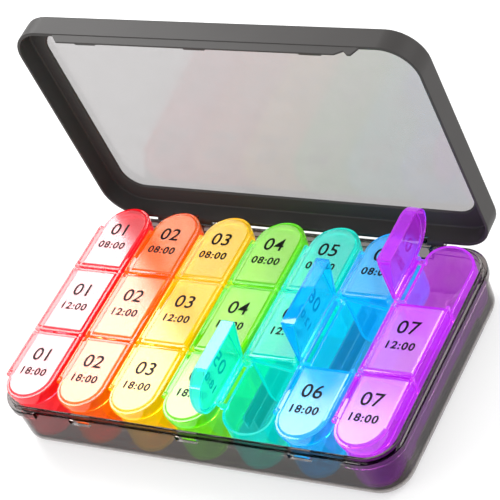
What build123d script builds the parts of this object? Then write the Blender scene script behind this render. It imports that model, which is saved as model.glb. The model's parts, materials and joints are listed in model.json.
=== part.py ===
from build123d import *
import math
import os

# A weekly pill box: a smoke tray with a hinged case lid over seven lift-out day boxes.
# Each day box has three compartments, and each compartment has a small hinged lid.
# The origin is at the middle of the tray's underside, days run along X and the hinge is at +Y.
# The case lid stands open, and so do three of the small lids, as the box is shown in use.

# The week
days = 7
day_gap = 1.0
opened_lids = [(5, "evening"), (6, "noon"), (7, "morning")]

# Day boxes
box_width = 21.8
box_length = 114.4
box_height = 29.4
box_wall = 1.2
box_floor = 1.2
box_draft = 1.0
box_edge_radius = 6.0
divider_offset = 19.6
divider_thickness = 1.6

# Small lids
lid_overhang = 1.3
lid_end_overhang = 1.4
row_gap = 0.8
lid_border = 0.8
label_rise = 0.6
label_margin = 1.3
lid_skirt_depth = 7.0
lid_skirt_thickness = 1.5
lid_skirt_draft = 2.8
lid_corner_radius = 1.0
lid_seat_gap = 0.2
lid_open_angle = 90.0

# Small lid hinges
lid_hinge_reach = 1.4
lid_knuckle_radius = 1.2
lid_pin_radius = 0.65
pin_clearance = 0.05
ear_thickness = 2.0
ear_height = 2.0
ear_drop = 0.7
ear_inset = 0.3
lid_pin_length = 4.2
lid_knuckle_play = 0.2

# Corner posts between the rows
post_width = 1.8
post_depth = 1.5
post_foot = 2.0
post_clearance = 0.8
post_side_clearance = 0.2

# Tray
tray_floor = 2.0
tray_wall = 1.5
tray_draft = 1.6
tray_edge_radius = 5.0
tray_end_clearance = 0.3
tray_side_clearance = 1.1
tray_corner_radius = 14.3
rim_rise = 1.6
rim_radius = 13.6
ledge_drop = 7.0
ledge_depth = 3.5
ledge_end = 21.6
rib_height = 7.0
rib_thickness = 1.0
rib_length = 70.0
rib_clearance = 0.3
select_tolerance = 0.01

# Latch
slot_width = 11.4
slot_height = 3.4
slot_drop = 2.0
slot_radius = 1.0
latch_catches = 3
catch_side_clearance = 0.4
catch_height = 1.4
catch_drop = 2.4
catch_engagement = 0.5
flap_drop = 4.0
flap_gap = 0.3
flap_thickness = 0.9
flap_left_margin = 25.1
flap_left_slope = 4.5
flap_right_margin = 33.1
flap_notch_run = 3.5
flap_notch_drop = 1.9
tooth_run = 2.5
tooth_tip_width = 1.7
tooth_slope = 2.3

# Case lid
case_headroom = 0.8
case_plate = 2.0
case_side_wall = 1.4
case_end_wall = 1.6
case_side_clearance = 0.4
case_end_clearance = 0.3
case_corner_radius = 16.0
case_top_radius = 1.5
case_rim_gap = 0.2
rim_side_clearance = 0.6
rim_end_clearance = 0.3
case_open_angle = 87.0

# Window
window_end_margin = 8.6
window_back_margin = 11.0
window_front_margin = 9.5
window_corner_radius = 10.0
window_bevel = 0.7
window_lap = 1.5
window_thickness = 1.1
window_clearance = 0.1

# Case hinge
case_hinge_offset = 0.4
case_hinge_rise = 1.0
case_knuckle_radius = 2.1
case_knuckle_clearance = 0.3
case_pin_radius = 0.9
hinge_group_inset = 38.8
tray_knuckle_length = 14.0
case_knuckle_length = 7.7
case_knuckle_play = 0.3
stop_drop = 7.4
stop_reach = 4.1
stop_gap = 0.1

# Places that follow from the sizes above
box_bottom = tray_floor
box_rim = box_bottom + box_height
lid_hinge_height = box_rim
ledge_height = box_rim - ledge_drop
rim_height = ledge_height + rim_rise
plate_under = lid_seat_gap
border_top = plate_under + lid_border
label_top = border_top + label_rise
lid_half_width = box_width / 2 + lid_overhang
lid_hinge_distance = lid_half_width + lid_hinge_reach
lid_end_reach = box_length / 2 + lid_end_overhang
row_near = divider_offset - row_gap / 2
row_far = divider_offset + row_gap / 2
round_middle = lid_end_reach - lid_half_width
skirt_rim_height = label_top - lid_skirt_depth
rim_slope = (plate_under - lid_seat_gap - skirt_rim_height) / (2 * lid_half_width)
ear_reach = lid_hinge_distance + lid_knuckle_radius
free_side = lid_hinge_distance + lid_half_width
knuckle_inset = ear_inset + ear_thickness + lid_knuckle_play
day_pitch = ear_reach + lid_half_width + day_gap

week_half_length = day_pitch * (days - 1) / 2
tray_inner_half_length = week_half_length + lid_half_width + tray_side_clearance
tray_inner_half_width = box_length / 2 + tray_end_clearance
tray_half_length = tray_inner_half_length + tray_wall
tray_half_width = tray_inner_half_width + tray_wall

case_inner_half_length = week_half_length + ear_reach + case_side_clearance
case_inner_half_width = lid_end_reach + case_end_clearance
case_half_length = case_inner_half_length + case_side_wall
case_half_width = case_inner_half_width + case_end_wall
rim_half_length = case_inner_half_length - rim_side_clearance
rim_half_width = case_inner_half_width - rim_end_clearance

ledge_front_gap = 2 * (case_half_length - ledge_end)
slot_top = ledge_height - slot_drop
slot_bottom = slot_top - slot_height
slot_pitch = 2 * day_pitch
catch_top = ledge_height - catch_drop
catch_bottom = catch_top - catch_height
flap_bottom = ledge_height - flap_drop
flap_notch_height = ledge_height - flap_notch_drop
flap_left_base = flap_left_margin - case_half_length
flap_left_tip = flap_left_base + flap_left_slope
flap_right_tip = case_half_length - flap_right_margin
flap_notch = flap_right_tip + flap_notch_run
tooth_tip_start = flap_notch + tooth_run
tooth_tip_end = tooth_tip_start + tooth_tip_width
tooth_base = tooth_tip_end + tooth_slope

case_hinge_y = case_half_width + case_hinge_offset
case_hinge_z = ledge_height + case_hinge_rise
case_rim = ledge_height + case_rim_gap - case_hinge_z
case_inner_top = lid_hinge_height + label_top + case_headroom - case_hinge_z
case_top = case_inner_top + case_plate
window_half_width = case_half_length - window_end_margin
window_back = case_half_width - window_back_margin
window_front = -case_half_width + window_front_margin
window_middle = (window_back + window_front) / 2
window_half_depth = (window_back - window_front) / 2
window_top = case_top - window_thickness

case_turn = math.radians(case_open_angle)
case_plane = Plane(
    origin=(0, case_hinge_y, case_hinge_z),
    x_dir=(1, 0, 0),
    z_dir=(0, math.sin(case_turn), math.cos(case_turn)),
)
case_up = Axis(case_plane.origin, case_plane.z_dir)
hinge_group_offset = tray_half_length - hinge_group_inset
group_places = [-hinge_group_offset, hinge_group_offset]
stop_bottom = ledge_height - stop_drop
case_knuckle_offset = tray_knuckle_length / 2 + case_knuckle_play + case_knuckle_length / 2
notch_radius = case_knuckle_radius + case_knuckle_clearance


def cross_section(plane, along):
    """The plane's own X-Z section, at a place along its Y."""
    return Plane(
        origin=plane.from_local_coords((0, along, 0)), x_dir=plane.x_dir, z_dir=-plane.y_dir
    )


def side_section(plane, along):
    """The plane's own Y-Z section, at a place along its X."""
    return Plane(
        origin=plane.from_local_coords((along, 0, 0)), x_dir=plane.y_dir, z_dir=plane.x_dir
    )


def day_middle(day):
    return (day - 1) * day_pitch - week_half_length


def row_span(row):
    """The straight stretch of a row's hinge side, from its near end to its far end."""
    if row == "noon":
        return -row_near, row_near
    if row == "morning":
        return row_far, round_middle
    return -round_middle, -row_far


def hinge_stations(row):
    """The outer end of each hinge of a row, and the way that its pin points."""
    near, far = row_span(row)
    return [(near + ear_inset, 1), (far - ear_inset, -1)]


def lid_outline(row, inset, hinge_inset):
    """One lid's outline about its hinge axis, drawn in by one inset and another at the hinge."""
    near, far = row_span(row)
    left = lid_hinge_reach + hinge_inset
    right = free_side - inset
    start = near if row == "evening" else near + inset
    end = far if row == "morning" else far - inset
    with Locations(((left + right) / 2, (start + end) / 2)):
        Rectangle(right - left, end - start)
    if row == "morning":
        with Locations((lid_hinge_distance, far)):
            Circle(lid_half_width - inset)
    if row == "evening":
        with Locations((lid_hinge_distance, near)):
            Circle(lid_half_width - inset)


def make_tray():
    """The tray: walls, floor and ledge, latch slots, locating ribs and hinge knuckles."""
    with BuildPart() as tray:
        with BuildSketch(Plane.XY.offset(ledge_height)):
            RectangleRounded(2 * tray_half_length, 2 * tray_half_width, tray_corner_radius)
        extrude(amount=-ledge_height, taper=tray_draft)
        fillet(tray.faces().sort_by(Axis.Z)[0].edges(), radius=tray_edge_radius)
        with BuildSketch(Plane.XY.offset(ledge_height)):
            RectangleRounded(2 * rim_half_length, 2 * rim_half_width, rim_radius)
        extrude(amount=rim_height - ledge_height)
        with BuildSketch(Plane.XY.offset(ledge_height)):
            RectangleRounded(2 * case_half_length, 2 * case_half_width, case_corner_radius)
            with Locations((0, -case_half_width)):
                Rectangle(ledge_front_gap, 2 * (case_half_width - tray_half_width), mode=Mode.SUBTRACT)
        extrude(amount=-ledge_depth)
        with BuildSketch(Plane.XY.offset(rim_height)):
            RectangleRounded(
                2 * tray_inner_half_length, 2 * tray_inner_half_width, rim_radius - tray_wall
            )
        extrude(amount=tray_floor - rim_height, taper=tray_draft, mode=Mode.SUBTRACT)
        inner_edges = tray.edges().filter_by_position(
            Axis.Z, tray_floor - select_tolerance, tray_floor + select_tolerance
        )
        fillet(inner_edges, radius=tray_edge_radius - tray_wall)

        with BuildSketch(Plane.XZ.offset(tray_half_width)):
            with Locations((0, (slot_bottom + slot_top) / 2)):
                with GridLocations(slot_pitch, 0, latch_catches, 1):
                    RectangleRounded(slot_width, slot_top - slot_bottom, slot_radius)
        extrude(amount=-2 * tray_wall, mode=Mode.SUBTRACT)

        # The ribs stand beside the box walls, which are drafted inwards towards their floor.
        box_half_at_rib = box_width / 2 - (box_height - rib_height) * math.tan(math.radians(box_draft))
        rib_offset = box_half_at_rib + rib_clearance + rib_thickness / 2
        with BuildSketch(Plane.XY.offset(tray_floor)):
            with GridLocations(day_pitch, 0, days, 1):
                with GridLocations(2 * rib_offset, 0, 2, 1):
                    Rectangle(rib_thickness, rib_length)
        extrude(amount=rib_height)

        for place in group_places:
            for side in (-1, 1):
                lid_knuckle_middle = place + side * case_knuckle_offset
                with BuildSketch(Plane.YZ.offset(lid_knuckle_middle)):
                    with Locations((case_hinge_y, case_hinge_z)):
                        Circle(notch_radius)
                extrude(amount=case_knuckle_length / 2 + case_knuckle_play, both=True, mode=Mode.SUBTRACT)
            with BuildSketch(Plane.YZ.offset(place)):
                with BuildLine():
                    # The stop's top is sloped like the open case lid's back, with a small gap.
                    stop_near = case_hinge_y + notch_radius
                    stop_far = case_hinge_y + stop_reach
                    lean = math.tan(math.pi / 2 - case_turn)
                    near_top = case_hinge_z + case_hinge_offset + lean * notch_radius - stop_gap
                    far_top = case_hinge_z + case_hinge_offset + lean * stop_reach - stop_gap
                    Polyline(
                        (tray_half_width - tray_wall / 2, stop_bottom),
                        (case_hinge_y, stop_bottom),
                        (stop_far, stop_bottom + stop_reach),
                        (stop_far, far_top),
                        (stop_near, near_top),
                        (case_hinge_y, case_hinge_z),
                        (tray_half_width - tray_wall / 2, case_hinge_z - case_hinge_rise),
                        close=True,
                    )
                make_face()
            extrude(amount=tray_knuckle_length / 2, both=True)
            with BuildSketch(Plane.YZ.offset(place)):
                with Locations((case_hinge_y, case_hinge_z)):
                    Circle(case_knuckle_radius)
            extrude(amount=tray_knuckle_length / 2, both=True)
            with BuildSketch(Plane.YZ.offset(place)):
                with Locations((case_hinge_y, case_hinge_z)):
                    Circle(case_pin_radius + pin_clearance)
            extrude(amount=tray_knuckle_length / 2, both=True, mode=Mode.SUBTRACT)
    return tray


def make_hinge_pin(place):
    """One plain pin, through a tray knuckle and the lid knuckles on both sides of it."""
    with BuildPart() as pin:
        with BuildSketch(side_section(Plane((0, case_hinge_y, case_hinge_z)), place)):
            Circle(case_pin_radius)
        extrude(amount=case_knuckle_offset + case_knuckle_length / 2, both=True)
    return pin


def make_case_frame():
    """The case lid's frame: plate and skirt, window seat, latch flap and hinge knuckles."""
    inner_radius = case_corner_radius - case_side_wall
    with BuildPart() as frame:
        with BuildSketch(case_plane.offset(case_top)):
            with Locations((0, -case_hinge_y)):
                RectangleRounded(2 * case_half_length, 2 * case_half_width, case_corner_radius)
        extrude(amount=case_rim - case_top)
        fillet(frame.faces().sort_by(case_up)[-1].edges(), radius=case_top_radius)
        with BuildSketch(case_plane.offset(case_rim)):
            with Locations((0, -case_hinge_y)):
                RectangleRounded(2 * case_inner_half_length, 2 * case_inner_half_width, inner_radius)
        extrude(amount=case_inner_top - case_rim, mode=Mode.SUBTRACT)

        with BuildSketch(case_plane.offset(case_top)):
            with Locations((0, window_middle - case_hinge_y)):
                RectangleRounded(2 * window_half_width, 2 * window_half_depth, window_corner_radius)
        extrude(amount=-case_plate, mode=Mode.SUBTRACT)
        with BuildSketch(case_plane.offset(case_inner_top)):
            with Locations((0, window_middle - case_hinge_y)):
                RectangleRounded(
                    2 * (window_half_width + window_bevel),
                    2 * (window_half_depth + window_bevel),
                    window_corner_radius + window_bevel,
                )
        extrude(amount=window_bevel, taper=45, mode=Mode.SUBTRACT)
        with BuildSketch(case_plane.offset(case_top)):
            with Locations((0, window_middle - case_hinge_y)):
                RectangleRounded(
                    2 * (window_half_width + window_lap + window_clearance),
                    2 * (window_half_depth + window_lap + window_clearance),
                    window_corner_radius + window_lap + window_clearance,
                )
        extrude(amount=-window_thickness, mode=Mode.SUBTRACT)

        # The flap hangs below the front rim, with a tooth at its right end.
        flap_inner = -tray_half_width - flap_gap - case_hinge_y
        rim = case_rim
        tip = flap_bottom - case_hinge_z
        with BuildSketch(cross_section(case_plane, flap_inner)):
            with BuildLine():
                Polyline(
                    (flap_left_base, rim + flap_thickness),
                    (flap_left_base, rim),
                    (flap_left_tip, tip),
                    (flap_right_tip, tip),
                    (flap_notch, flap_notch_height - case_hinge_z),
                    (tooth_tip_start, tip),
                    (tooth_tip_end, tip),
                    (tooth_base, rim),
                    (tooth_base, rim + flap_thickness),
                    close=True,
                )
            make_face()
        extrude(amount=flap_thickness)
        with BuildSketch(cross_section(case_plane, flap_inner)):
            with Locations((0, (catch_bottom + catch_top) / 2 - case_hinge_z)):
                with GridLocations(slot_pitch, 0, latch_catches, 1):
                    Rectangle(slot_width - 2 * catch_side_clearance, catch_top - catch_bottom)
        extrude(amount=-flap_gap - catch_engagement)

        for place in group_places:
            with BuildSketch(side_section(case_plane, place)):
                Circle(notch_radius)
            extrude(amount=tray_knuckle_length / 2 + case_knuckle_play, both=True, mode=Mode.SUBTRACT)
            for side in (-1, 1):
                knuckle_plane = side_section(case_plane, place + side * case_knuckle_offset)
                with BuildSketch(knuckle_plane):
                    Circle(case_knuckle_radius)
                extrude(amount=case_knuckle_length / 2, both=True)
                with BuildSketch(knuckle_plane):
                    Circle(case_pin_radius + pin_clearance)
                extrude(amount=case_knuckle_length / 2, both=True, mode=Mode.SUBTRACT)
    return frame


def make_case_window():
    """The clear panel, seated on the lip inside the frame's plate."""
    with BuildPart() as window:
        with BuildSketch(case_plane.offset(window_top)):
            with Locations((0, window_middle - case_hinge_y)):
                RectangleRounded(
                    2 * (window_half_width + window_lap),
                    2 * (window_half_depth + window_lap),
                    window_corner_radius + window_lap,
                )
        extrude(amount=window_thickness)
    return window


def make_compartments(day):
    """The space inside one day's box: a drafted, round-edged trough parted by two dividers."""
    with BuildPart() as compartments:
        with BuildSketch(Plane((day_middle(day), 0, box_rim))):
            SlotOverall(box_length - 2 * box_wall, box_width - 2 * box_wall, rotation=90)
        extrude(amount=box_floor - box_height, taper=box_draft)
        fillet(compartments.faces().sort_by(Axis.Z)[0].edges(), radius=box_edge_radius - box_wall)
        with BuildSketch(Plane((day_middle(day), 0, box_bottom))):
            with GridLocations(0, 2 * divider_offset, 1, 2):
                Rectangle(box_width, divider_thickness)
        extrude(amount=box_height, mode=Mode.SUBTRACT)
    return compartments


def make_day_box(day):
    """One day's box: a drafted trough with dividers, a slanted rim, hinge ears and corner posts."""
    middle = day_middle(day)
    hinge_plane = Plane((middle - lid_hinge_distance, 0, lid_hinge_height))
    compartments = make_compartments(day)
    with BuildPart() as box:
        with BuildSketch(Plane((middle, 0, box_rim))):
            SlotOverall(box_length, box_width, rotation=90)
        extrude(amount=-box_height, taper=box_draft)
        fillet(box.faces().sort_by(Axis.Z)[0].edges(), radius=box_edge_radius)
        add(compartments.part, mode=Mode.SUBTRACT)

        # The rim is slanted like the lids' own rims, so that it is low on the free side.
        with BuildSketch(cross_section(hinge_plane, 0)):
            with BuildLine():
                low_rim = skirt_rim_height - lid_seat_gap
                Polyline(
                    (0, low_rim + rim_slope * free_side),
                    (free_side, low_rim),
                    (free_side, box_height),
                    (0, box_height),
                    close=True,
                )
            make_face()
        extrude(amount=box_length, both=True, mode=Mode.SUBTRACT)

        for row in ("evening", "noon", "morning"):
            for outer_end, way in hinge_stations(row):
                ear_middle = outer_end + way * ear_thickness / 2
                with BuildSketch(cross_section(hinge_plane, ear_middle)):
                    Circle(lid_knuckle_radius)
                    arm_length = lid_hinge_distance - (box_width - box_wall) / 2
                    with Locations((arm_length / 2, -ear_drop - ear_height / 2)):
                        Rectangle(arm_length, ear_height)
                extrude(amount=ear_thickness / 2, both=True)
                pin_middle = outer_end + way * (ear_thickness + lid_pin_length / 2)
                with BuildSketch(cross_section(hinge_plane, pin_middle)):
                    Circle(lid_pin_radius)
                extrude(amount=lid_pin_length / 2, both=True)

        # A post at the free end of each row gap stands between the lids' corners.
        with BuildSketch(hinge_plane.offset(border_top)):
            with Locations((free_side - post_depth / 2, 0)):
                with GridLocations(0, 2 * divider_offset, 1, 2):
                    Rectangle(post_depth, post_width)
        extrude(amount=low_rim - post_foot - border_top)
        with BuildSketch(hinge_plane.offset(low_rim)):
            foot_start = lid_hinge_distance + box_width / 2 - box_wall
            with Locations(((foot_start + free_side) / 2, 0)):
                with GridLocations(0, 2 * divider_offset, 1, 2):
                    Rectangle(free_side - foot_start, post_width)
        extrude(amount=-post_foot)
    return box


def make_small_lid(day, row):
    """One small lid about its hinge axis: skirt, slanted rim, raised label field and knuckle."""
    angle = lid_open_angle if (day, row) in opened_lids else 0
    turn = math.radians(angle)
    lid_plane = Plane(
        origin=(day_middle(day) - lid_hinge_distance, 0, lid_hinge_height),
        x_dir=(math.cos(turn), 0, math.sin(turn)),
        z_dir=(-math.sin(turn), 0, math.cos(turn)),
    )
    with BuildPart() as lid:
        with BuildSketch(lid_plane.offset(border_top)) as outline:
            lid_outline(row, 0, 0)
            corners = outline.vertices()
            if row == "morning":
                corners = corners.group_by(Axis.Y)[0]
            if row == "evening":
                corners = corners.group_by(Axis.Y)[-1]
            fillet(corners, radius=lid_corner_radius)
        extrude(amount=skirt_rim_height - border_top, taper=lid_skirt_draft)
        with BuildSketch(lid_plane.offset(plate_under)):
            lid_outline(row, lid_skirt_thickness, -2 * lid_hinge_reach)
        extrude(amount=skirt_rim_height - plate_under, mode=Mode.SUBTRACT)
        with BuildSketch(cross_section(lid_plane, 0)):
            with BuildLine():
                Polyline(
                    (0, skirt_rim_height + rim_slope * free_side),
                    (free_side, skirt_rim_height),
                    (free_side, -box_height),
                    (0, -box_height),
                    close=True,
                )
            make_face()
        extrude(amount=box_length, both=True, mode=Mode.SUBTRACT)
        with BuildSketch(lid_plane.offset(border_top)):
            lid_outline(row, label_margin, label_margin)
        extrude(amount=label_rise, taper=45)

        # The corners beside the posts are cut away.
        with BuildSketch(lid_plane.offset(border_top)):
            with Locations((free_side, 0)):
                with GridLocations(0, 2 * divider_offset, 1, 2):
                    Rectangle(2 * (post_depth + post_clearance), post_width + 2 * post_side_clearance)
        extrude(amount=-lid_skirt_depth, mode=Mode.SUBTRACT)

        near, far = row_span(row)
        with BuildSketch(cross_section(lid_plane, (near + far) / 2)):
            Circle(lid_knuckle_radius)
            with Locations((lid_hinge_reach, (plate_under + border_top) / 2)):
                Rectangle(2 * lid_hinge_reach, lid_border)
            Circle(lid_pin_radius + pin_clearance, mode=Mode.SUBTRACT)
        extrude(amount=(far - near) / 2 - knuckle_inset, both=True)
    return lid


os.makedirs("parts", exist_ok=True)

tray = make_tray()
tray.part.label = "tray"
export_step(tray.part, "parts/tray.step")

frame = make_case_frame()
frame.part.label = "case_lid_frame"
export_step(frame.part, "parts/case_lid_frame.step")

window = make_case_window()
window.part.label = "case_lid_window"
export_step(window.part, "parts/case_lid_window.step")

for pin_name, place in zip(("left_hinge_pin", "right_hinge_pin"), group_places):
    pin = make_hinge_pin(place)
    pin.part.label = pin_name
    export_step(pin.part, f"parts/{pin_name}.step")

for day in range(1, days + 1):
    box = make_day_box(day)
    box.part.label = f"day_{day}_box"
    export_step(box.part, f"parts/day_{day}_box.step")
    for row in ("evening", "noon", "morning"):
        lid = make_small_lid(day, row)
        lid.part.label = f"day_{day}_{row}_lid"
        export_step(lid.part, f"parts/day_{day}_{row}_lid.step")
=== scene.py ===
import json
import math
import bmesh
import bpy
from mathutils import Matrix, Vector


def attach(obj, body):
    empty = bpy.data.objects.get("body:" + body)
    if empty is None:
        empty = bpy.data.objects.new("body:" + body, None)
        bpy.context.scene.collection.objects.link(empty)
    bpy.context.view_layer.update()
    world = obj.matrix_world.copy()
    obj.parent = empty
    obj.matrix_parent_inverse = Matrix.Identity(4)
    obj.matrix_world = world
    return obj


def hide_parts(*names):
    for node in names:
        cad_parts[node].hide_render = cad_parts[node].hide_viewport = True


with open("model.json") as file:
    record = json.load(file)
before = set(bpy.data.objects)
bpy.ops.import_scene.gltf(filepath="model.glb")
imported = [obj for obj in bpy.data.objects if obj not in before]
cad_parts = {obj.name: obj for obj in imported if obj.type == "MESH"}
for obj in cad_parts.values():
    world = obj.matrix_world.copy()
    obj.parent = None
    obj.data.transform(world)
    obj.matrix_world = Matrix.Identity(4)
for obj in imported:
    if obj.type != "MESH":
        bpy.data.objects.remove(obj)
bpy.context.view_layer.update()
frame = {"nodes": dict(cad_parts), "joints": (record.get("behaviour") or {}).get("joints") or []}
print("frame loaded:", len(frame["nodes"]), "nodes")

mm = 0.001
rows = ("evening", "noon", "morning")
jointOf = {joint["child"]: joint for joint in frame["joints"]}


def addObject(name, data):
    thing = bpy.data.objects.new(name, data)
    bpy.context.scene.collection.objects.link(thing)
    return thing


# Camera, in millimetres and turned as the photograph was taken
cameraView = {
    "place": (515.18, -509.49, 678.00),
    "forward": (-0.52811, 0.55046, -0.64660),
    "down": (0.08438, -0.72366, -0.68498),
    "lens": 160.65,
    "sensor": 36.0,
    "clip": (50, 20000),  # nearest and farthest thing seen
}


def makeCamera(view):
    data = bpy.data.cameras.new("camera")
    data.lens = view["lens"]
    data.sensor_width = view["sensor"]
    data.clip_start, data.clip_end = (distance * mm for distance in view["clip"])
    camera = addObject("camera", data)
    back = -Vector(view["forward"]).normalized()
    up = -Vector(view["down"])
    up = (up - up.dot(back) * back).normalized()
    right = up.cross(back)
    turn = Matrix((right, up, back)).transposed().to_4x4()
    camera.matrix_world = Matrix.Translation(Vector(view["place"]) * mm) @ turn
    bpy.context.scene.camera = camera


makeCamera(cameraView)
bpy.context.scene.view_settings.view_transform = "Standard"


def toLinear(hexColour):
    channels = [int(hexColour[i:i + 2], 16) / 255 for i in (1, 3, 5)]
    return [c / 12.92 if c <= 0.04045 else ((c + 0.055) / 1.055) ** 2.4 for c in channels] + [1.0]


def addNode(tree, kind, settings=None, inputs=None, links=None):
    node = tree.nodes.new(kind)
    for key, value in (settings or {}).items():
        setattr(node, key, value)
    for key, value in (inputs or {}).items():
        node.inputs[key].default_value = value
    for key, source in (links or {}).items():
        tree.links.new(source, node.inputs[key])
    return node


def newMaterial(name):
    material = bpy.data.materials.new(name)
    material.use_nodes = True
    tree = material.node_tree
    tree.nodes.clear()
    return material, tree, addNode(tree, "ShaderNodeOutputMaterial")


# Clear polystyrene, dyed in the mass and injection moulded: a hard gloss, and a faint waviness
# and clouding of the dye where the melt flowed into the mould
def dyedPolystyrene(name, look):
    material, tree, output = newMaterial(name)
    place = addNode(tree, "ShaderNodeTexCoord").outputs["Object"]
    flow = addNode(tree, "ShaderNodeTexNoise",
                   inputs={"Scale": 1 / (look["flowMark"] * mm), "Detail": 2.0}, links={"Vector": place})
    tint = addNode(tree, "ShaderNodeMix", {"data_type": "RGBA"},
                   {"A": toLinear(look["deep"]), "B": toLinear(look["pale"])},
                   {"Factor": flow.outputs["Fac"]})
    ripple = addNode(tree, "ShaderNodeBump",
                     inputs={"Strength": look["ripple"], "Distance": look["rippleDepth"] * mm},
                     links={"Height": flow.outputs["Fac"]})
    # The emission is a painted glow: the surface gives off light in the plastic's own colour
    surface = addNode(tree, "ShaderNodeBsdfPrincipled", inputs={
        "IOR": look["ior"], "Roughness": look["roughness"], "Transmission Weight": look["clear"],
        "Emission Color": toLinear(look["mass"]), "Emission Strength": look["glow"],
        "Specular IOR Level": look["sheen"], "Specular Tint": toLinear(look["mirror"]),
        "Coat Weight": look["coat"], "Coat Roughness": look["coatBlur"]},
        links={"Base Color": tint.outputs["Result"], "Normal": ripple.outputs["Normal"]})
    tree.links.new(surface.outputs["BSDF"], output.inputs["Surface"])
    return material


dye = {
    "ior": 1.59,  # of polystyrene
    "roughness": 0.03,  # a polished mould
    "clear": 0.92,  # share of the light that goes through
    "glow": 0.14,  # painted glow: strength of the light the plastic gives off in its own colour, standing in for light the walls pipe along from all round the box
    "sheen": 0.5,
    "mirror": "#ffffff",  # tint of the reflections
    "ripple": 0.4,
    "rippleDepth": 0.02,
    "flowMark": 9,
    "coat": 0.0,
    "coatBlur": 0.32,
}
# Each day's colours; the label colours are paled, partly to paint in a sheen of reflected light
dyes = {
    1: dict(dye, deep="#ff3048", pale="#ff4458", mass="#ff1430", label="#ffb8c0", haze="#ffd8dc"),
    2: dict(dye, deep="#ff8c20", pale="#ffa038", mass="#ff780c", label="#ffa83c", haze="#ffb858"),
    3: dict(dye, deep="#ffdc0c", pale="#ffe824", mass="#ffd400", label="#ffe418", haze="#ffea38"),
    4: dict(dye, deep="#94ee26", pale="#a4f43c", mass="#74e40c", label="#d4f878", haze="#e4fa98"),
    5: dict(dye, deep="#14f0e4", pale="#34f8ec", mass="#00e4d8", label="#44f0e4", haze="#6cf4ec"),
    6: dict(dye, deep="#1cccff", pale="#38d8ff", mass="#00b8ff", label="#70e0ff", haze="#94ecff"),
    7: dict(dye, deep="#e058fa", pale="#e870fa", mass="#c828f8", label="#f4b8f8", haze="#fad0fa"),
}
# Smoke polystyrene for the tray and clear grey polystyrene for the window. The photograph shows
# hardly any reflection in these two, as through a polarising filter, so theirs is dimmed.
dimmed = dict(dye, mass="#000000", clear=1.0, glow=0.0, sheen=0.1)
smoke = dict(dimmed, deep="#7a7270", pale="#807876", mirror="#484848")
clearGrey = dict(dimmed, deep="#adabab", pale="#b2b0b0", mirror="#666666", roughness=0.12)
# The boxes have thin walls all over, so they look paler and let more through than their lids, and their
# painted glow is a little stronger
thin = {"clear": 0.96, "glow": 0.17}
# The label fields come from a spark-eroded part of the mould: the same plastic with a satin haze. Their
# pale label colours are partly that haze and partly a painted sheen of reflected light.
satin = {"clear": 0.75, "glow": 0.15, "roughness": 0.26, "ripple": 0.1, "coat": 0.6}

smokeMaterial = dyedPolystyrene("smoke polystyrene", smoke)
windowMaterial = dyedPolystyrene("clear grey polystyrene", clearGrey)
dyedMaterials, boxMaterials, labelMaterials = {}, {}, {}
for day, look in dyes.items():
    thinLook = dict(look, **thin, deep=look["pale"], pale=look["haze"])
    satinAndPaintedSheenLook = dict(look, **satin, deep=look["label"], pale=look["haze"])
    dyedMaterials[day] = dyedPolystyrene("dyed polystyrene day %d" % day, look)
    boxMaterials[day] = dyedPolystyrene("thin dyed polystyrene day %d" % day, thinLook)
    labelMaterials[day] = dyedPolystyrene("satin dyed polystyrene day %d" % day, satinAndPaintedSheenLook)


# Dark grey ABS, moulded with a satin face: fine grain softens the highlights
satinGrey = {
    "deep": "#403e3d",
    "pale": "#464443",
    "ior": 1.53,
    "roughness": 0.42,
    "sheen": 0.1,
    "grain": 0.6,  # coarser than the spark-eroded grain of a mould, so that it shows
    "grainDepth": 0.02,
    "relief": 0.15,
    "cloud": 30,
}


def satinAbs(name, look):
    material, tree, output = newMaterial(name)
    place = addNode(tree, "ShaderNodeTexCoord").outputs["Object"]
    grain = addNode(tree, "ShaderNodeTexNoise",
                    inputs={"Scale": 1 / (look["grain"] * mm), "Detail": 3.0}, links={"Vector": place})
    cloud = addNode(tree, "ShaderNodeTexNoise",
                    inputs={"Scale": 1 / (look["cloud"] * mm), "Detail": 1.0}, links={"Vector": place})
    tint = addNode(tree, "ShaderNodeMix", {"data_type": "RGBA"},
                   {"A": toLinear(look["deep"]), "B": toLinear(look["pale"])},
                   {"Factor": cloud.outputs["Fac"]})
    bump = addNode(tree, "ShaderNodeBump",
                   inputs={"Strength": look["relief"], "Distance": look["grainDepth"] * mm},
                   links={"Height": grain.outputs["Fac"]})
    surface = addNode(tree, "ShaderNodeBsdfPrincipled", inputs={
        "IOR": look["ior"], "Roughness": look["roughness"], "Specular IOR Level": look["sheen"]},
        links={"Base Color": tint.outputs["Result"], "Normal": bump.outputs["Normal"]})
    tree.links.new(surface.outputs["BSDF"], output.inputs["Surface"])
    return material


absMaterial = satinAbs("satin dark grey ABS", satinGrey)

# Drawn stainless steel wire for the hinge pins: a bright metal with fine lines along its length
drawnWire = {
    "colour": "#b9b8b5",
    "smoothest": 0.2,
    "roughest": 0.36,
    "line": 0.2,  # coarser than real drawing lines, so that it shows
    "stretch": (0.05, 1, 1),  # lines twenty times as long as wide
}


def drawnSteel(name, look):
    material, tree, output = newMaterial(name)
    place = addNode(tree, "ShaderNodeTexCoord").outputs["Object"]
    stretched = addNode(tree, "ShaderNodeMapping",
                        inputs={"Scale": look["stretch"]}, links={"Vector": place})
    lines = addNode(tree, "ShaderNodeTexNoise", inputs={"Scale": 1 / (look["line"] * mm), "Detail": 2.0},
                    links={"Vector": stretched.outputs["Vector"]})
    rough = addNode(tree, "ShaderNodeMapRange",
                    inputs={"To Min": look["smoothest"], "To Max": look["roughest"]},
                    links={"Value": lines.outputs["Fac"]})
    surface = addNode(tree, "ShaderNodeBsdfPrincipled",
                      inputs={"Base Color": toLinear(look["colour"]), "Metallic": 1.0},
                      links={"Roughness": rough.outputs["Result"]})
    tree.links.new(surface.outputs["BSDF"], output.inputs["Surface"])
    return material


steelMaterial = drawnSteel("drawn stainless steel", drawnWire)

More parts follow.
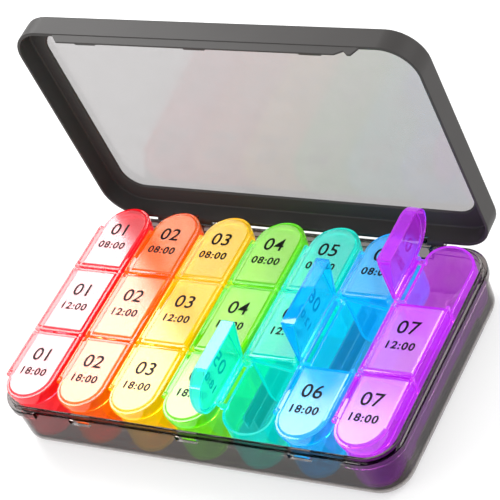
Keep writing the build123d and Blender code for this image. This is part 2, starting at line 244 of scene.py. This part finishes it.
# Pad printing ink: a thin matt black film whose thickness varies a little
blackInk = {
    "thick": "#0c0c0c",
    "scant": "#161515",
    "ior": 1.5,
    "roughness": 0.6,
    "sheen": 0.2,
    "patch": 0.8,
}


def printingInk(name, look):
    material, tree, output = newMaterial(name)
    place = addNode(tree, "ShaderNodeTexCoord").outputs["Object"]
    film = addNode(tree, "ShaderNodeTexNoise",
                   inputs={"Scale": 1 / (look["patch"] * mm), "Detail": 2.0}, links={"Vector": place})
    tint = addNode(tree, "ShaderNodeMix", {"data_type": "RGBA"},
                   {"A": toLinear(look["thick"]), "B": toLinear(look["scant"])},
                   {"Factor": film.outputs["Fac"]})
    surface = addNode(tree, "ShaderNodeBsdfPrincipled", inputs={
        "IOR": look["ior"], "Roughness": look["roughness"], "Specular IOR Level": look["sheen"]},
        links={"Base Color": tint.outputs["Result"]})
    tree.links.new(surface.outputs["BSDF"], output.inputs["Surface"])
    return material


inkMaterial = printingInk("black pad printing ink", blackInk)
print("materials made")


def arc(middleX, middleY, radius, start, end, steps):
    turns = [math.radians(start + (end - start) * i / steps) for i in range(steps + 1)]
    return [(middleX + radius * math.cos(t), middleY + radius * math.sin(t)) for t in turns]


def roundedOutline(left, right, front, back, radius, steps=10):
    return (arc(right - radius, front + radius, radius, -90, 0, steps)
            + arc(right - radius, back - radius, radius, 0, 90, steps)
            + arc(left + radius, back - radius, radius, 90, 180, steps)
            + arc(left + radius, front + radius, radius, 180, 270, steps))


def level(outline, height):
    return [(x, y, height) for x, y in outline]


def ring(halfX, halfY, radius, height, inset=0.0, middleY=0.0):
    # One level of a shape with round corners, drawn in by an inset
    return level(roundedOutline(inset - halfX, halfX - inset, middleY - halfY + inset,
                                middleY + halfY - inset, radius - inset), height)


def roundEdge(radius, steps=3):
    # Inset and drop of the steps round an edge, from the side face to the top face
    turns = [math.radians(90 * i / steps) for i in range(steps + 1)]
    return [(radius * (1 - math.cos(t)), radius * (1 - math.sin(t))) for t in turns]


def loft(rings, closed=False):
    solid = bmesh.new()
    loops = [[solid.verts.new(Vector(point) * mm) for point in points] for points in rings]
    pairs = list(zip(loops, loops[1:]))
    if closed:
        pairs.append((loops[-1], loops[0]))
    else:
        solid.faces.new(loops[0])
        solid.faces.new(loops[-1])
    for low, high in pairs:
        for i in range(len(low)):
            j = (i + 1) % len(low)
            solid.faces.new((low[i], low[j], high[j], high[i]))
    bmesh.ops.recalc_face_normals(solid, faces=solid.faces)
    return solid


def inMetres(matrix):
    # The matrices are in millimetres, like every size in this file
    scaled = matrix.copy()
    scaled.translation = matrix.translation * mm
    return scaled


def placed(solid, matrix):
    bmesh.ops.transform(solid, matrix=inMetres(matrix), verts=solid.verts)
    bmesh.ops.recalc_face_normals(solid, faces=solid.faces)
    return solid


sharpAngle = math.radians(30)
smoothAngle = math.radians(32)


def softPrism(outline, thickness, matrix, edge=0.15):
    # An outline drawn out along the matrix's Z, with its edges taken off
    solid = loft([level(outline, 0), level(outline, thickness)])
    if edge:
        sharp = [e for e in solid.edges if e.calc_face_angle(0) > sharpAngle]
        bmesh.ops.bevel(solid, geom=sharp, offset=edge * mm, segments=2, affect="EDGES", profile=0.5)
    return placed(solid, matrix)


def block(left, right, front, back, low, high, edge=0.15):
    outline = [(left, front), (right, front), (right, back), (left, back)]
    return softPrism(outline, high - low, Matrix.Translation((0, 0, low)), edge)


def across(y):
    # For shapes drawn in the X-Z section and drawn out along Y
    return Matrix(((1, 0, 0, 0), (0, 0, 1, y), (0, 1, 0, 0), (0, 0, 0, 1)))


def along(x):
    # For shapes drawn in the Y-Z section and drawn out along X
    return Matrix(((0, 0, 1, x), (1, 0, 0, 0), (0, 1, 0, 0), (0, 0, 0, 1)))


def disc(middleA, middleB, radius):
    # Sixteen corners
    return arc(middleA, middleB, radius, 0, 337.5, 15)


def asObject(name, solid):
    mesh = bpy.data.meshes.new(name)
    solid.to_mesh(mesh)
    solid.free()
    return addObject(name, mesh)


def gathered(solids):
    # Shapes that stand clear of one another, as one mesh
    whole = bmesh.new()
    for solid in solids:
        mesh = bpy.data.meshes.new("part of a tool")
        solid.to_mesh(mesh)
        solid.free()
        whole.from_mesh(mesh)
        bpy.data.meshes.remove(mesh)
    return whole


def settleModifiers(piece):
    graph = bpy.context.evaluated_depsgraph_get()
    mesh = bpy.data.meshes.new_from_object(piece.evaluated_get(graph))
    piece.modifiers.clear()
    piece.data = mesh


def combine(piece, operation, solids):
    helper = asObject("helper", gathered(solids))
    modifier = piece.modifiers.new("combine", "BOOLEAN")
    modifier.operation = operation
    modifier.solver = "EXACT"
    modifier.object = helper
    settleModifiers(piece)
    bpy.data.objects.remove(helper)


def finishPiece(piece, material, body, node=None):
    mesh = piece.data
    mesh.materials.clear()
    mesh.materials.append(material)
    mesh.shade_smooth()
    mesh.set_sharp_from_angle(angle=smoothAngle)
    # Flat faces stay optically flat beside their rounded edges
    modifier = piece.modifiers.new("weighted normals", "WEIGHTED_NORMAL")
    modifier.mode = "FACE_AREA"
    modifier.weight = 100
    modifier.keep_sharp = True
    settleModifiers(piece)
    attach(piece, body)
    if node:
        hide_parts(node)


# The small lids, measured from their hinge axis
smallLid = {
    "hingeGap": 1.4,
    "halfWidth": 12.2,
    "rowNear": 19.2,
    "rowFar": 20.0,
    "roundMiddle": 46.4,
    "corner": 1.0,
    "plateUnder": 0.2,
    "border": 1.0,
    "labelTop": 1.6,
    "labelInset": 1.3,
    "labelEdge": ((0.22, 0.0), (0.05, 0.04)),  # inset and drop of its rounding
    "labelFoot": ((0.08, 0.08), (-0.12, 0.0)),  # inset and lift of its hollow
    "labelReach": 0.1,  # how far below labelTop the field still is satin
    "skirtRim": -5.4,
    "skirtWall": 1.5,
    "rimEdge": 0.2,
    "rimChamfer": 0.15,
    "plateChamfer": 0.25,
    "draft": 0.0489,
    "edge": 0.4,
    "arm": (0.6, 2.0),  # from the knuckle to the plate
    "knuckleRadius": 1.2,
    "boreRadius": 0.7,
    "knuckleInset": 2.5,
    "notchDepth": 2.3,
    "notchFrom": 18.5,
    "notchTo": 20.7,
    "notchHeight": (-8, 3),  # well past the lid, below and above
    "restAngle": 90.0,
}
lidMiddle = smallLid["hingeGap"] + smallLid["halfWidth"]
lidFree = lidMiddle + smallLid["halfWidth"]
rimSlope = -smallLid["skirtRim"] / (2 * smallLid["halfWidth"])


def rowSpan(row):
    lid = smallLid
    spans = {
        "evening": (-lid["roundMiddle"], -lid["rowFar"]),
        "noon": (-lid["rowNear"], lid["rowNear"]),
        "morning": (lid["rowFar"], lid["roundMiddle"]),
    }
    return spans[row]


def endedOutline(row, left, right, near, far, corner, inset):
    # A plain oblong for noon; the other two rows have one round end
    corner = max(corner - inset, 0.25)
    half = (right - left) / 2
    if row == "noon":
        return roundedOutline(left + inset, right - inset, near + inset, far - inset, corner, 6)
    if row == "morning":
        return (arc(right - inset - corner, near + inset + corner, corner, -90, 0, 6)
                + arc((left + right) / 2, far, half - inset, 0, 180, 48)
                + arc(left + inset + corner, near + inset + corner, corner, 180, 270, 6))
    turned = endedOutline("morning", left, right, -far, -near, corner + inset, inset)
    return [(x, -y) for x, y in reversed(turned)]


def lidOutline(row, inset):
    near, far = rowSpan(row)
    return endedOutline(row, smallLid["hingeGap"], lidFree, near, far, smallLid["corner"], inset)


def rimHeight(x):
    return smallLid["skirtRim"] + rimSlope * (lidFree - x)


def skirtRing(row, lift, inset):
    # A level of the skirt's outside, at a lift above its slanted rim
    lid = smallLid
    step = 0.5  # between the two outlines that it is drawn from
    points = []
    for (x, y), (innerX, innerY) in zip(lidOutline(row, 0), lidOutline(row, step)):
        height = rimHeight(x) + lift
        share = (lid["draft"] * (lid["border"] - height) + inset) / step
        points.append((x + (innerX - x) * share, y + (innerY - y) * share, height))
    return points


def lidShell(row):
    lid = smallLid
    wall = lid["skirtWall"]
    under = lid["plateUnder"]
    border = lid["border"]
    label = lid["labelInset"]
    rise = lid["labelTop"] - border
    chamfer = lid["rimChamfer"]
    corner = lid["plateChamfer"]
    rings = []
    for inset, drop in lid["labelEdge"]:
        rings.append(level(lidOutline(row, label + rise + inset), lid["labelTop"] - drop))
    for inset, lift in lid["labelFoot"]:
        rings.append(level(lidOutline(row, label + inset), border + lift))
    for inset, drop in reversed(roundEdge(lid["edge"])):
        rings.append(level(lidOutline(row, inset), border - drop))
    for inset, lift in roundEdge(lid["rimEdge"], 2):
        rings.append(skirtRing(row, lift, inset))
    inner = lidOutline(row, wall)
    rings.append([(x, y, rimHeight(x)) for x, y in lidOutline(row, wall - chamfer)])
    rings.append([(x, y, rimHeight(x) + chamfer) for x, y in inner])
    rings.append([(x, y, max(under - corner, rimHeight(x) + chamfer + 0.01)) for x, y in inner])
    rings.append(level(lidOutline(row, wall + corner), under))
    return loft(rings)


def makeLidMesh(row):
    lid = smallLid
    near, far = rowSpan(row)
    piece = asObject("lid " + row, lidShell(row))
    start = near + lid["knuckleInset"]
    length = far - near - 2 * lid["knuckleInset"]
    notches = []
    for side in (-1, 1):
        low, high = sorted((side * lid["notchFrom"], side * lid["notchTo"]))
        if high > near and low < far:
            depth = lid["notchDepth"]
            notches.append(block(lidFree - depth, lidFree + 1, low, high, *lid["notchHeight"], 0))
    combine(piece, "DIFFERENCE", notches)
    root, tip = lid["arm"]
    under, border = lid["plateUnder"], lid["border"]
    arm = [(root, under), (root, border), (tip, border), (tip, under)]
    bore = softPrism(disc(0, 0, lid["boreRadius"]), length + 2, across(start - 1), 0)
    combine(piece, "UNION", [softPrism(arm, length, across(start), 0)])
    combine(piece, "UNION", [softPrism(disc(0, 0, lid["knuckleRadius"]), length, across(start))])
    combine(piece, "DIFFERENCE", [bore])
    mesh = piece.data
    bpy.data.objects.remove(piece)
    return mesh


lidMeshes = {row: makeLidMesh(row) for row in rows}
labelLow = (smallLid["labelTop"] - smallLid["labelReach"]) * mm
labelFaces = {row: [face.index for face in mesh.polygons if face.center.z > labelLow]
              for row, mesh in lidMeshes.items()}
print("small lid shapes made")

# The day boxes, measured in X from their middle
dayBox = {
    "pitch": 28,  # from one day to the next
    "halfWidth": 10.9,
    "halfLength": 57.15,
    "rim": 31.4,
    "bottom": 2.0,
    "draft": 0.01746,
    "edge": 6.0,
    "wall": 1.2,
    "floor": 1.2,
    "divider": 19.6,
    "dividerHalf": 0.8,
    "cavityCorner": 0.8,
    "cavityTop": 4,  # how far the tool that cuts it stands over the rim
    "lowRim": -5.6,
    "rimEdge": 0.3,
    "hingeAt": -13.6,
    "earInset": 0.3,
    "earThickness": 2.0,
    "earDrop": 0.7,
    "earHeight": 2.0,
    "earArm": 3.3,
    "earEdge": 0.1,
    "knuckleRadius": 1.2,
    "pinRadius": 0.65,
    "pinLength": 4.2,
    "pinRoot": 0.3,  # how deep a stub pin starts in its ear
    "postHalf": 0.9,
    "postFrom": 10.7,
    "postTo": 12.2,
    "postFoot": 2.0,
    "postRise": 1.0,
    "postEdge": 0.2,
    "postSink": 0.8,
    "footSink": 0.2,
    "footGap": 0.02,
}


def boxRim(x):
    # The rim falls from the hinge side to the free side
    box = dayBox
    return box["rim"] + box["lowRim"] + rimSlope * (box["postTo"] - x)


def boxOutline(inset):
    box = dayBox
    middle = box["halfLength"] - box["halfWidth"]
    radius = box["halfWidth"] - inset
    return arc(0, middle, radius, 0, 180, 40) + arc(0, -middle, radius, 180, 360, 40)


def boxShell():
    box = dayBox
    rings = []
    for inset, lift in reversed(roundEdge(box["edge"], 6)):
        height = box["bottom"] + lift
        rings.append(level(boxOutline(inset + box["draft"] * (box["rim"] - height)), height))
    whole, drawn = boxOutline(0), boxOutline(1)
    for inset, drop in roundEdge(box["rimEdge"], 3):
        points = []
        for (x, y), (innerX, innerY) in zip(whole, drawn):
            height = boxRim(x) - drop
            share = inset + box["draft"] * (box["rim"] - height)
            points.append((x + (innerX - x) * share, y + (innerY - y) * share, height))
        rings.append(points)
    return loft(rings)


def boxCavity(row):
    box = dayBox
    half = box["halfWidth"] - box["wall"]
    near, far = box["divider"] + box["dividerHalf"], box["halfLength"] - box["halfWidth"]
    if row == "noon":
        near, far = box["dividerHalf"] - box["divider"], box["divider"] - box["dividerHalf"]
    if row == "evening":
        near, far = -far, -near

    def outline(inset):
        # The bottom's rounding runs along the walls, and the dividers stay upright
        return endedOutline(row, inset - half, half - inset, near, far, box["cavityCorner"], 0.0)

    rings = []
    floor = box["bottom"] + box["floor"]
    for inset, lift in reversed(roundEdge(box["edge"] - box["wall"], 6)):
        height = floor + lift
        rings.append(level(outline(inset + box["draft"] * (box["rim"] - height)), height))
    wide = endedOutline(row, -half, half, near, far, box["cavityCorner"], -1.0)
    for share, drop in roundEdge(box["rimEdge"], 3):
        points = []
        for (x, y), (wideX, wideY) in zip(outline(0.0), wide):
            points.append((x + (wideX - x) * share, y + (wideY - y) * share, boxRim(x) - drop))
        rings.append(points)
    rings.append([(x, y, box["rim"] + box["cavityTop"]) for x, y, _ in rings[-1]])
    return loft(rings)


def makeBoxMesh():
    box = dayBox
    piece = asObject("box", boxShell())
    combine(piece, "DIFFERENCE", [boxCavity(row) for row in rows])
    arms, knuckles, pins = [], [], []
    hinged, thick = box["hingeAt"], box["earThickness"]
    armEnd = hinged + box["earArm"]
    armTop = box["rim"] - box["earDrop"]
    armLow = armTop - box["earHeight"]
    pinLength = box["pinLength"] + box["pinRoot"]
    for row in rows:
        near, far = rowSpan(row)
        for outer, way in ((near + box["earInset"], 1), (far - box["earInset"], -1)):
            low = min(outer, outer + way * thick)
            arm = [(hinged, armLow), (armEnd, armLow), (armEnd, armTop), (hinged, armTop)]
            arms.append(softPrism(arm, thick, across(low), box["earEdge"]))
            knuckles.append(softPrism(disc(hinged, box["rim"], box["knuckleRadius"]), thick, across(low)))
            inner = outer + way * (thick - box["pinRoot"])
            low = min(inner, inner + way * pinLength)
            pins.append(softPrism(disc(hinged, box["rim"], box["pinRadius"]), pinLength, across(low), 0))
    combine(piece, "UNION", arms)
    combine(piece, "UNION", knuckles)
    combine(piece, "UNION", pins)
    feet, posts = [], []
    lowRim = box["rim"] + box["lowRim"]
    footFrom = box["halfWidth"] - box["wall"] + box["footSink"]
    for middle in (-box["divider"], box["divider"]):
        front, back = middle - box["postHalf"], middle + box["postHalf"]
        feet.append(block(footFrom, box["postTo"], front, back,
                          lowRim - box["postFoot"], lowRim - box["footGap"]))
        posts.append(block(box["postFrom"], box["postTo"], front, back,
                           lowRim - box["postSink"], box["rim"] + box["postRise"], box["postEdge"]))
    combine(piece, "UNION", feet)
    combine(piece, "UNION", posts)
    mesh = piece.data
    bpy.data.objects.remove(piece)
    return mesh


def dayMiddle(day):
    # The fourth day sits in the middle of the tray
    return (day - 4) * dayBox["pitch"]


def makeDayBoxes():
    base = makeBoxMesh()
    for day in dyes:
        node = "day_%d_box" % day
        mesh = base.copy()
        mesh.transform(Matrix.Translation((dayMiddle(day) * mm, 0, 0)))
        piece = addObject("day_%d_trough" % day, mesh)
        finishPiece(piece, boxMaterials[day], node, node)


makeDayBoxes()
print("day boxes made")

# The tray: walls with a ledge all round but at the front, latch slots, ribs and hinge knuckles
trayShape = {
    "body": (98.8, 59.0, 14.3),  # half length, half depth and corner radius, as in the next three
    "ledge": (100.6, 60.5, 16.0),
    "rim": (98.6, 58.6, 13.6),
    "inner": (97.3, 57.5, 12.1),
    "draft": 0.02793,
    "edge": 5.0,
    "innerEdge": 3.5,
    "floor": 2.0,
    "ledgeLow": 20.9,
    "ledgeTop": 24.4,
    "ledgeEdge": 0.4,
    "top": 26.0,
    "rimEdge": 0.35,
    "ledgeCut": 79.0,
    "cutFront": -70,
    "slots": (-56.0, 0.0, 56.0),
    "slot": (5.7, 19.0, 22.4, 1.0),  # half width, low, high and corner radius
    "slotTool": (-62, 8),  # front and depth
    "rib": (11.309, 1.0, 35.0, 9.0),  # offset from a box's middle, thickness, half length and top
    "ribSink": 0.5,
    "ribEdge": 0.2,
}
hinge = {
    "y": 60.9,
    "z": 25.4,
    "groups": (-60.0, 60.0),
    "knuckle": 2.1,
    "notch": 2.4,
    "bore": 0.95,
    "trayHalf": 7.0,
    "lidOffset": 11.15,
    "lidHalf": 3.85,
    "play": 0.3,
    "lug": ((58.25, 17.0), (60.9, 17.0), (65.0, 21.1), (65.0, 25.915), (63.3, 25.826),
            (60.9, 25.4), (58.25, 24.4)),
    "lugEdge": 0.1,
}


lidKnuckles = [place + side * hinge["lidOffset"] for place in hinge["groups"] for side in (-1, 1)]


def makeTray():
    tray = trayShape
    draft, rimEdge, ledgeEdge = tray["draft"], tray["rimEdge"], tray["ledgeEdge"]
    rings = []
    for inset, lift in reversed(roundEdge(tray["edge"], 8)):
        rings.append(ring(*tray["body"], lift, inset + draft * (tray["ledgeTop"] - lift)))
    rings.append(ring(*tray["body"], tray["ledgeLow"], draft * (tray["ledgeTop"] - tray["ledgeLow"])))
    for inset, lift in reversed(roundEdge(ledgeEdge)):
        rings.append(ring(*tray["ledge"], tray["ledgeLow"] + lift, inset))
    for inset, drop in roundEdge(ledgeEdge):
        rings.append(ring(*tray["ledge"], tray["ledgeTop"] - drop, inset))
    rings.append(ring(*tray["rim"], tray["ledgeTop"]))
    for inset, drop in roundEdge(rimEdge):
        rings.append(ring(*tray["rim"], tray["top"] - drop, inset))
    for inset, drop in reversed(roundEdge(rimEdge)):
        rings.append(ring(*tray["inner"], tray["top"] - drop, -inset))
    for inset, lift in roundEdge(tray["innerEdge"], 6):
        height = tray["floor"] + lift
        rings.append(ring(*tray["inner"], height, inset + draft * (tray["top"] - height)))
    piece = asObject("tray_shell", loft(rings))
    # The front wall is flush: its ledge is cut away, and the catches of the flap find three slots
    cut = tray["ledgeCut"]
    combine(piece, "DIFFERENCE", [block(-cut, cut, tray["cutFront"], -tray["body"][1],
                                        tray["ledgeLow"] - 1, tray["ledgeTop"], 0)])
    half, low, high, corner = tray["slot"]
    front, depth = tray["slotTool"]
    slotOutlines = [roundedOutline(x - half, x + half, low, high, corner, 4) for x in tray["slots"]]
    combine(piece, "DIFFERENCE", [softPrism(outline, depth, across(front), 0) for outline in slotOutlines])
    offset, thick, halfRib, top = tray["rib"]
    ribs = []
    for middle in [dayMiddle(day) + side * offset for day in dyes for side in (-1, 1)]:
        ribs.append(block(middle - thick / 2, middle + thick / 2, -halfRib, halfRib,
                          tray["floor"] - tray["ribSink"], top, tray["ribEdge"]))
    combine(piece, "UNION", ribs)
    # Notches for the large lid's knuckles, then the tray's own
    notch = disc(hinge["y"], hinge["z"], hinge["notch"])
    wide = 2 * (hinge["lidHalf"] + hinge["play"])
    combine(piece, "DIFFERENCE", [softPrism(notch, wide, along(x - wide / 2), 0) for x in lidKnuckles])
    knuckle = disc(hinge["y"], hinge["z"], hinge["knuckle"])
    bore = disc(hinge["y"], hinge["z"], hinge["bore"])
    long = 2 * hinge["trayHalf"]
    starts = [place - hinge["trayHalf"] for place in hinge["groups"]]
    combine(piece, "UNION", [softPrism(hinge["lug"], long, along(x), hinge["lugEdge"]) for x in starts])
    combine(piece, "UNION", [softPrism(knuckle, long, along(x)) for x in starts])
    combine(piece, "DIFFERENCE", [softPrism(bore, long + 2, along(x - 1), 0) for x in starts])
    finishPiece(piece, smokeMaterial, "tray", "tray")


makeTray()
print("tray made")

# The case lid, measured from its hinge axis, with Z along the shut lid's height
caseLid = {
    "angle": 87.0,
    "middle": -60.9,
    "outer": (100.6, 60.5, 16.0),  # half length, half depth and corner radius, as in the others
    "inner": (99.2, 58.9, 14.6),
    "rim": -0.8,
    "rimEdge": 0.35,
    "under": 8.4,
    "underEdge": 0.8,
    "top": 10.4,
    "topEdge": 1.5,
    "windowMiddle": -61.65,
    "opening": (92.0, 50.25, 10.0),
    "bevel": 0.7,
    "rebate": (93.6, 51.85, 11.6),
    "rebateEdge": 0.12,
    "rebateFloor": 9.3,
    "panel": (93.5, 51.75, 11.5),
    "panelEdge": 0.12,
    "flapFace": -120.2,
    "flapThickness": 0.9,
    "flap": ((-75.5, 0.1), (-75.5, -0.8), (-71.0, -5.0), (67.5, -5.0), (71.0, -2.9), (73.5, -5.0),
             (75.2, -5.0), (77.5, -0.8), (77.5, 0.1)),
    "flapEdge": 0.25,
    "catch": (5.3, -4.8, -3.4, 0.8),  # half width, low, high and reach
    "catchRoot": 0.3,
    "catchEdge": 0.2,
}


def caseMatrix():
    turn = math.radians(caseLid["angle"])
    return Matrix(((1, 0, 0, 0), (0, math.cos(turn), math.sin(turn), hinge["y"]),
                   (0, -math.sin(turn), math.cos(turn), hinge["z"]), (0, 0, 0, 1)))


def makeCaseFrame():
    lid = caseLid
    middle, window, edge = lid["middle"], lid["windowMiddle"], lid["rebateEdge"]
    rings = []
    for inset, lift in reversed(roundEdge(lid["rimEdge"])):
        rings.append(ring(*lid["outer"], lid["rim"] + lift, inset, middle))
    for inset, drop in roundEdge(lid["topEdge"], 6):
        rings.append(ring(*lid["outer"], lid["top"] - drop, inset, middle))
    rings.append(ring(*lid["rebate"], lid["top"], -edge, window))
    rings.append(ring(*lid["rebate"], lid["top"] - edge, 0, window))
    rings.append(ring(*lid["rebate"], lid["rebateFloor"], 0, window))
    rings.append(ring(*lid["opening"], lid["rebateFloor"], 0, window))
    rings.append(ring(*lid["opening"], lid["under"] + lid["bevel"], 0, window))
    rings.append(ring(*lid["opening"], lid["under"], -lid["bevel"], window))
    for inset, drop in reversed(roundEdge(lid["underEdge"])):
        rings.append(ring(*lid["inner"], lid["under"] - drop, inset, middle))
    for inset, lift in roundEdge(lid["rimEdge"]):
        rings.append(ring(*lid["inner"], lid["rim"] + lift, -inset, middle))
    piece = asObject("case_lid_rim", loft(rings, closed=True))
    # The latch flap with its three catches
    face, thick = lid["flapFace"], lid["flapThickness"]
    combine(piece, "UNION", [softPrism(lid["flap"], thick, across(face - thick), lid["flapEdge"])])
    half, low, high, reach = lid["catch"]
    root = face - lid["catchRoot"]
    combine(piece, "UNION", [block(x - half, x + half, root, face + reach, low, high, lid["catchEdge"])
                             for x in trayShape["slots"]])
    # Notches for the tray's knuckles, then the lid's own
    notch, knuckle, bore = (disc(0, 0, hinge[size]) for size in ("notch", "knuckle", "bore"))
    wide = 2 * (hinge["trayHalf"] + hinge["play"])
    combine(piece, "DIFFERENCE", [softPrism(notch, wide, along(place - wide / 2), 0)
                                  for place in hinge["groups"]])
    long = 2 * hinge["lidHalf"]
    starts = [x - hinge["lidHalf"] for x in lidKnuckles]
    combine(piece, "UNION", [softPrism(knuckle, long, along(x)) for x in starts])
    combine(piece, "DIFFERENCE", [softPrism(bore, long + 2, along(x - 1), 0) for x in starts])
    piece.data.transform(inMetres(caseMatrix()))
    finishPiece(piece, absMaterial, "case_lid", "case_lid_frame")


def makeCaseWindow():
    lid = caseLid
    rings = []
    for inset, lift in reversed(roundEdge(lid["panelEdge"], 2)):
        rings.append(ring(*lid["panel"], lid["rebateFloor"] + lift, inset, lid["windowMiddle"]))
    for inset, drop in roundEdge(lid["panelEdge"], 2):
        rings.append(ring(*lid["panel"], lid["top"] - drop, inset, lid["windowMiddle"]))
    piece = asObject("case_lid_panel", placed(loft(rings), caseMatrix()))
    finishPiece(piece, windowMaterial, "case_lid", "case_lid_window")


makeCaseFrame()
makeCaseWindow()
print("case lid made")

# The numerals: a day number over the hour of the dose, in place of words
numerals = {
    "big": {"size": 10.0, "weight": 0.1, "spacing": 1.06},
    "small": {"size": 5.6, "weight": 0.16, "spacing": 1.16},
    "thickness": 0.03,
    "clearance": 0.005,  # over the label field
    "shift": -0.9,
    "bigPlace": {"evening": -33.7, "noon": 5.6, "morning": 43.8},
    "smallPlace": {"evening": -43.4, "noon": -4.2, "morning": 34.2},
    "hour": {"evening": "18:00", "noon": "12:00", "morning": "08:00"},
}


def textMesh(words, style):
    curve = bpy.data.curves.new("numeral", "FONT")
    curve.body = words
    curve.size = style["size"] * mm
    curve.offset = style["weight"] * mm
    curve.space_character = style["spacing"]
    curve.extrude = numerals["thickness"] * mm / 2
    curve.align_x = "CENTER"
    curve.align_y = "CENTER"
    curve.resolution_u = 6
    holder = addObject("numeral", curve)
    graph = bpy.context.evaluated_depsgraph_get()
    mesh = bpy.data.meshes.new_from_object(holder.evaluated_get(graph))
    bpy.data.objects.remove(holder)
    return mesh


def makePrint(day, row, place):
    ink = numerals
    solid = bmesh.new()
    height = smallLid["labelTop"] + ink["thickness"] / 2 + ink["clearance"]
    for words, style, spot in (("%02d" % day, ink["big"], ink["bigPlace"][row]),
                               (ink["hour"][row], ink["small"], ink["smallPlace"][row])):
        mesh = textMesh(words, style)
        shift = Vector((lidMiddle + ink["shift"], spot, height)) * mm
        mesh.transform(Matrix.Translation(shift))
        solid.from_mesh(mesh)
        bpy.data.meshes.remove(mesh)
    bmesh.ops.transform(solid, matrix=place, verts=solid.verts)
    return asObject("day_%d_%s_numerals" % (day, row), solid)


def makeSmallLids():
    for day in dyes:
        for row in rows:
            node = "day_%d_%s_lid" % (day, row)
            joint = jointOf[node]
            opened = joint["range_deg"][0] < 0  # such a lid stands open at rest
            turn = Matrix.Rotation(-math.radians(smallLid["restAngle"] if opened else 0), 4, "Y")
            place = Matrix.Translation(joint["pos_m"]) @ turn
            mesh = lidMeshes[row].copy()
            mesh.transform(place)
            piece = addObject("day_%d_%s_flap" % (day, row), mesh)
            finishPiece(piece, dyedMaterials[day], node, node)
            piece.data.materials.append(labelMaterials[day])
            for index in labelFaces[row]:
                piece.data.polygons[index].material_index = 1
            ink = makePrint(day, row, place)
            finishPiece(ink, inkMaterial, node)


makeSmallLids()
print("small lids made")

# The hinge pins keep their own shape and take their finish here
for name, node in frame["nodes"].items():
    if name.endswith("hinge_pin"):
        node.data.materials.clear()
        node.data.materials.append(steelMaterial)


# A pale floor and soft studio light, in metres
studio = {
    "background": "#ffffff",
    "world": 0.95,
    "floor": "#c0c0c0",
    "floorGlow": 0.54,  # lifts the floor to white, as a lit table does
    "floorRoughness": 0.9,
    "floorSize": 6.0,
    "softboxes": (
        {"place": (-0.566, 0.4, 0.612), "side": (-0.78, 0, 0.625), "size": (0.4, 0.5), "power": 5.0},
        {"place": (0.65, 0.55, 0.53), "side": (0, 0, 1), "size": (0.6, 0.12), "power": 2.0},
        {"place": (-0.53, -0.63, 0.53), "side": (0.77, -0.64, 0), "size": (0.5, 0.08), "power": 1.2},
    ),
}


def makeStudio(settings):
    world = bpy.data.worlds.new("studio")
    bpy.context.scene.world = world
    world.use_nodes = True
    background = world.node_tree.nodes["Background"]
    background.inputs["Color"].default_value = toLinear(settings["background"])
    background.inputs["Strength"].default_value = settings["world"]
    half = settings["floorSize"] / 2
    corners = [(-half, -half, 0), (half, -half, 0), (half, half, 0), (-half, half, 0)]
    floor = bpy.data.meshes.new("floor")
    floor.from_pydata(corners, [], [(0, 1, 2, 3)])
    ground = addObject("floor", floor)
    material, tree, output = newMaterial("pale floor")
    surface = addNode(tree, "ShaderNodeBsdfPrincipled", inputs={
        "Base Color": toLinear(settings["floor"]), "Roughness": settings["floorRoughness"],
        "Specular IOR Level": 0.0, "Emission Color": toLinear(settings["background"]),
        "Emission Strength": settings["floorGlow"]})
    tree.links.new(surface.outputs["BSDF"], output.inputs["Surface"])
    floor.materials.append(material)
    for number, box in enumerate(settings["softboxes"]):
        data = bpy.data.lights.new("softbox %d" % number, "AREA")
        data.shape = "RECTANGLE"
        data.size, data.size_y = box["size"]
        data.energy = box["power"]
        lamp = addObject("softbox %d" % number, data)
        back = Vector(box["place"]).normalized()
        side = Vector(box["side"])
        side = (side - side.dot(back) * back).normalized()
        turn = Matrix((side, back.cross(side), back)).transposed().to_4x4()
        lamp.matrix_world = Matrix.Translation(box["place"]) @ turn
        lamp.visible_camera = False


makeStudio(studio)
print("studio made")
